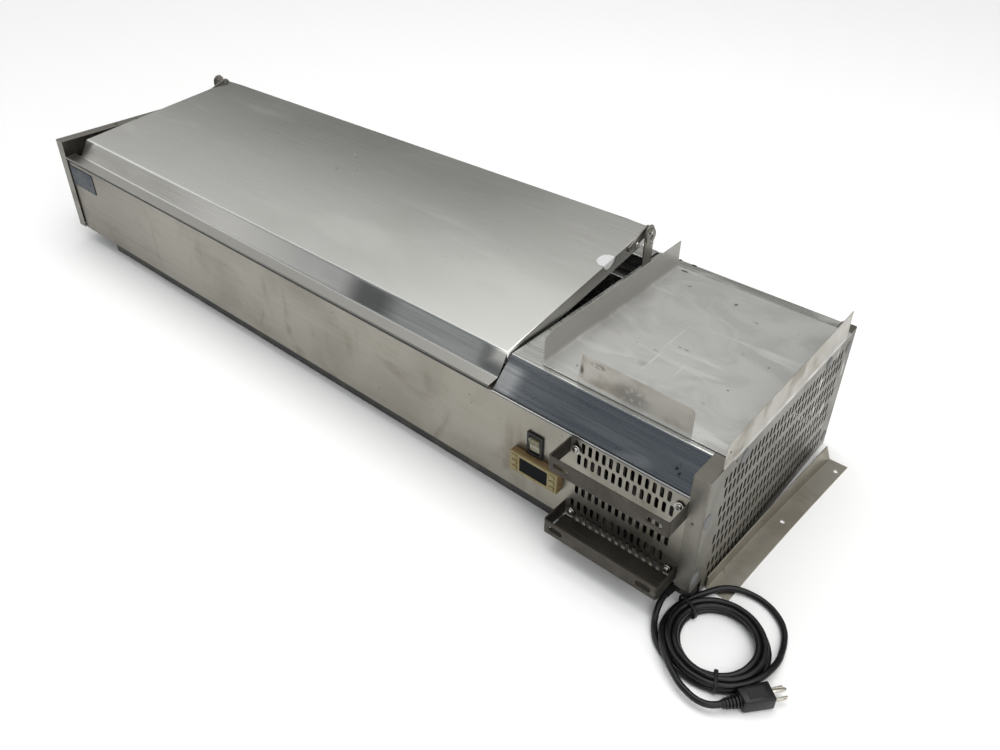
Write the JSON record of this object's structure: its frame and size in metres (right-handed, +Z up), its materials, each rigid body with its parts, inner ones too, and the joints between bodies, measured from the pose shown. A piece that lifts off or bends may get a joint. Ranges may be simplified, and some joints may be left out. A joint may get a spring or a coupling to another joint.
{
  "type": "refrigerated countertop prep rail",
  "caption": "Countertop refrigerated prep rail: long stainless cabinet with food pans under a hinged lid, and a vented compressor bay with a shelf tray at one end.",
  "frame": {"origin": "on the supporting surface, under the middle of the object's outline without its lead", "axes": "+X along the cabinet towards the compressor bay, +Y from the front to the back, +Z up"},
  "size_m": [1.5465, 0.4912, 0.2737],
  "materials": {
    "stainless_panel": "brushed stainless sheet, satin, smudged and scratched",
    "hood_panel": "brushed stainless, darker blue-grey sheen along the slope",
    "shelf_sheet": "dull scratched sheet steel",
    "guard_steel": "dark brown-grey bent bar, worn edges",
    "pan_steel": "smooth drawn stainless",
    "base_coat": "dark grey coated sheet, matt",
    "foam": "expanded foam",
    "black_plastic": "moulded plastic",
    "gold_plastic": "yellowed gold bezel, scuffed",
    "clear_rocker": "aged translucent plastic",
    "badge": "plain dark blue plate, no lettering",
    "bright_pin": "ground steel pin",
    "enamel": "black enamel",
    "fins": "pressed aluminium",
    "copper": "drawn copper",
    "cord_rubber": "black rubber sheath, soft sheen"
  },
  "bodies": {
    "cabinet": {"front_panel": "stainless_panel", "back_panel": "stainless_panel", "left_end_panel": "stainless_panel", "right_end_panel": "stainless_panel", "bay_bulkhead": "stainless_panel", "well_frame": "stainless_panel", "back_rail": "stainless_panel", "hinge_bracket_left": "stainless_panel", "hinge_bracket_right": "stainless_panel", "corner_bracket": "stainless_panel", "divider_bar_1": "stainless_panel", "divider_bar_2": "stainless_panel", "divider_bar_3": "stainless_panel", "divider_bar_4": "stainless_panel", "divider_bar_5": "stainless_panel", "bay_hood": "hood_panel", "shelf_tray": "shelf_sheet", "upper_guard_bar": "guard_steel", "lower_guard_bar": "guard_steel", "lower_guard_trough": "guard_steel", "well_liner": "pan_steel", "base_pan": "base_coat", "fan_shroud": "base_coat", "floor_foam": "foam", "thermostat_display": "black_plastic", "thermostat_body": "black_plastic", "switch_frame": "black_plastic", "cord_gland": "black_plastic", "thermostat_bezel": "gold_plastic", "badge_plate": "badge", "hinge_pin_left": "bright_pin", "hinge_pin_right": "bright_pin", "compressor": "enamel", "fan_motor": "enamel", "condenser_coil": "fins", "evaporator_tube": "copper", "filter_drier": "copper", "power_cord": "cord_rubber", "cord_loop": "cord_rubber", "cord_coil": "cord_rubber", "power_plug": "cord_rubber"},
    "lid": {"lid_skin": "stainless_panel", "lid_foam": "foam", "lid_liner": "pan_steel", "hinge_ear_left": "stainless_panel", "hinge_ear_right": "stainless_panel"},
    "rocker": {"switch_rocker": "clear_rocker"},
    "fan": {"fan_blade": "fins"},
    "key_1": {"thermostat_key_1": "gold_plastic"},
    "pan_1": {"food_pan_1": "pan_steel"},
    "key_2": {"thermostat_key_2": "gold_plastic"},
    "pan_2": {"food_pan_2": "pan_steel"},
    "key_3": {"thermostat_key_3": "gold_plastic"},
    "pan_3": {"food_pan_3": "pan_steel"},
    "key_4": {"thermostat_key_4": "gold_plastic"},
    "pan_4": {"food_pan_4": "pan_steel"},
    "key_5": {"thermostat_key_5": "gold_plastic"},
    "pan_5": {"food_pan_5": "pan_steel"},
    "key_6": {"thermostat_key_6": "gold_plastic"},
    "pan_6": {"food_pan_6": "pan_steel"}
  },
  "joints": [
    {"name": "lid_hinge", "type": "hinge", "parent": "cabinet", "child": "lid", "pos_m": [-0.7, 0.171, 0.2404], "axis": [-0.9998, 0, -0.0199], "range_deg": [0, 100]},
    {"name": "switch_toggle", "type": "hinge", "parent": "cabinet", "child": "rocker", "pos_m": [0.4371, -0.173, 0.12175], "axis": [-1, 0, 0], "range_deg": [0, 12]},
    {"name": "condenser_fan_spin", "type": "hinge", "parent": "cabinet", "child": "fan", "pos_m": [0.565, -0.113, 0.1], "axis": [0, 1, 0], "continuous": true},
    {"name": "thermostat_key_1_press", "type": "slide", "parent": "cabinet", "child": "key_1", "axis": [0, 1, 0], "range_m": [0, 0.0008], "stiffness_N_per_m": 300, "springref_m": -0.0003},
    {"name": "thermostat_key_2_press", "type": "slide", "parent": "cabinet", "child": "key_2", "axis": [0, 1, 0], "range_m": [0, 0.0008], "stiffness_N_per_m": 300, "springref_m": -0.0003},
    {"name": "thermostat_key_3_press", "type": "slide", "parent": "cabinet", "child": "key_3", "axis": [0, 1, 0], "range_m": [0, 0.0008], "stiffness_N_per_m": 300, "springref_m": -0.0003},
    {"name": "thermostat_key_4_press", "type": "slide", "parent": "cabinet", "child": "key_4", "axis": [0, 1, 0], "range_m": [0, 0.0008], "stiffness_N_per_m": 300, "springref_m": -0.0003},
    {"name": "thermostat_key_5_press", "type": "slide", "parent": "cabinet", "child": "key_5", "axis": [0, 1, 0], "range_m": [0, 0.0008], "stiffness_N_per_m": 300, "springref_m": -0.0003},
    {"name": "thermostat_key_6_press", "type": "slide", "parent": "cabinet", "child": "key_6", "axis": [0, 1, 0], "range_m": [0, 0.0008], "stiffness_N_per_m": 300, "springref_m": -0.0003},
    {"name": "food_pan_1_lift", "type": "slide", "parent": "cabinet", "child": "pan_1", "axis": [0, 0, 1], "range_m": [0, 0.01]},
    {"name": "food_pan_2_lift", "type": "slide", "parent": "cabinet", "child": "pan_2", "axis": [0, 0, 1], "range_m": [0, 0.01]},
    {"name": "food_pan_3_lift", "type": "slide", "parent": "cabinet", "child": "pan_3", "axis": [0, 0, 1], "range_m": [0, 0.01]},
    {"name": "food_pan_4_lift", "type": "slide", "parent": "cabinet", "child": "pan_4", "axis": [0, 0, 1], "range_m": [0, 0.01]},
    {"name": "food_pan_5_lift", "type": "slide", "parent": "cabinet", "child": "pan_5", "axis": [0, 0, 1], "range_m": [0, 0.01]},
    {"name": "food_pan_6_lift", "type": "slide", "parent": "cabinet", "child": "pan_6", "axis": [0, 0, 1], "range_m": [0, 0.01]}
  ]
}
